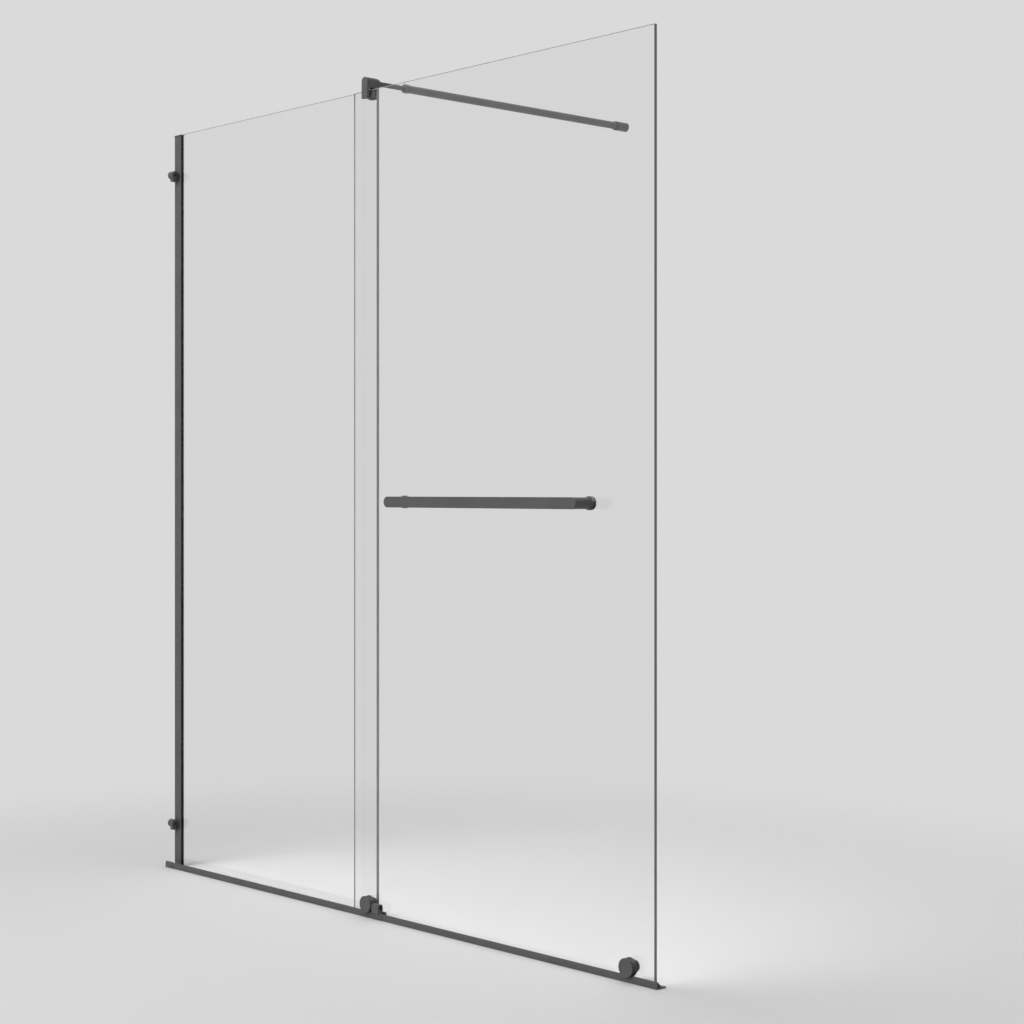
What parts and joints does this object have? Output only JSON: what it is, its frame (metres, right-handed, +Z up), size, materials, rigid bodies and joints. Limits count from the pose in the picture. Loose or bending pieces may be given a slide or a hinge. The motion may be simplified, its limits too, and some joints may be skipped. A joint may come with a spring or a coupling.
{
  "type": "sliding shower screen",
  "caption": "Sliding shower screen: fixed glass in a wall profile, a glass door on grooved rollers over a floor rail, a towel-bar handle and a telescopic bar to the back wall.",
  "frame": {"origin": "on the side wall and the floor, in the middle of the fixed glass's thickness, at the foot of the wall profile's back face", "axes": "+X along the screen from the side wall, +Y into the shower towards the back wall, +Z up"},
  "size_m": [1.8343, 0.952, 2.027],
  "materials": {
    "graphite_metal": "satin graphite coating",
    "clear_glass": "clear toughened glass, ground edges",
    "clear_seal": "clear flexible plastic",
    "black_rubber": "matt rubber",
    "black_nylon": "moulded nylon",
    "bright_steel": "turned stainless steel"
  },
  "bodies": {
    "fixed_screen": {"wall_profile": "graphite_metal", "floor_track": "graphite_metal", "track_wall_cap": "graphite_metal", "wall_profile_cap": "graphite_metal", "guide_block": "graphite_metal", "lower_stop_body": "graphite_metal", "upper_stop_body": "graphite_metal", "bar_bracket": "graphite_metal", "support_rod": "graphite_metal", "fixed_glass": "clear_glass", "fixed_glass_sill_seal": "clear_seal", "bracket_glass_pads": "clear_seal", "bracket_rear_shoe": "clear_seal", "glass_wedge_seals": "black_rubber", "guide_bumpers": "black_rubber", "lower_stop_buffer": "black_rubber", "upper_stop_buffer": "black_rubber", "guide_glass_pad": "black_nylon", "bracket_front_shoe": "black_nylon", "track_end_plug": "black_nylon", "guide_block_screws": "bright_steel", "stop_screws": "bright_steel", "bracket_screws": "bright_steel"},
    "door": {"sliding_glass": "clear_glass", "handle_bar": "graphite_metal", "handle_posts": "graphite_metal", "handle_rosettes": "graphite_metal", "handle_gaskets": "clear_seal", "handle_inner_caps": "graphite_metal", "handle_studs": "bright_steel", "roller_axle_left": "bright_steel", "roller_front_cap_left": "graphite_metal", "roller_rear_cap_left": "graphite_metal", "roller_gaskets_left": "black_rubber", "bearing_inner_ring_left": "bright_steel", "roller_axle_right": "bright_steel", "roller_front_cap_right": "graphite_metal", "roller_rear_cap_right": "graphite_metal", "roller_gaskets_right": "black_rubber", "bearing_inner_ring_right": "bright_steel"},
    "roller_left": {"roller_wheel_left": "black_nylon", "bearing_outer_ring_left": "bright_steel"},
    "roller_right": {"roller_wheel_right": "black_nylon", "bearing_outer_ring_right": "bright_steel"},
    "bar_extension": {"support_tube": "graphite_metal", "tube_collar": "graphite_metal", "tube_bush": "black_nylon", "collar_set_screw": "bright_steel", "wall_socket": "graphite_metal", "socket_set_screw": "bright_steel"}
  },
  "joints": [
    {"name": "door_slide", "type": "slide", "parent": "fixed_screen", "child": "door", "axis": [-1, 0, 0], "range_m": [0, 0.7865]},
    {"name": "roller_left_spin", "type": "hinge", "parent": "door", "child": "roller_left", "pos_m": [0.8779, -0.0335, 0.0313], "axis": [0, 1, 0], "continuous": true},
    {"name": "roller_right_spin", "type": "hinge", "parent": "door", "child": "roller_right", "pos_m": [1.7496, -0.0335, 0.0313], "axis": [0, 1, 0], "continuous": true},
    {"name": "support_bar_extension", "type": "slide", "parent": "fixed_screen", "child": "bar_extension", "axis": [0, 1, 0], "range_m": [-0.07, 0.25]}
  ],
  "couplings": [
    {"joint": "roller_left_spin", "follows": "door_slide", "rad_per_m": -64.516},
    {"joint": "roller_right_spin", "follows": "door_slide", "rad_per_m": -64.516}
  ]
}
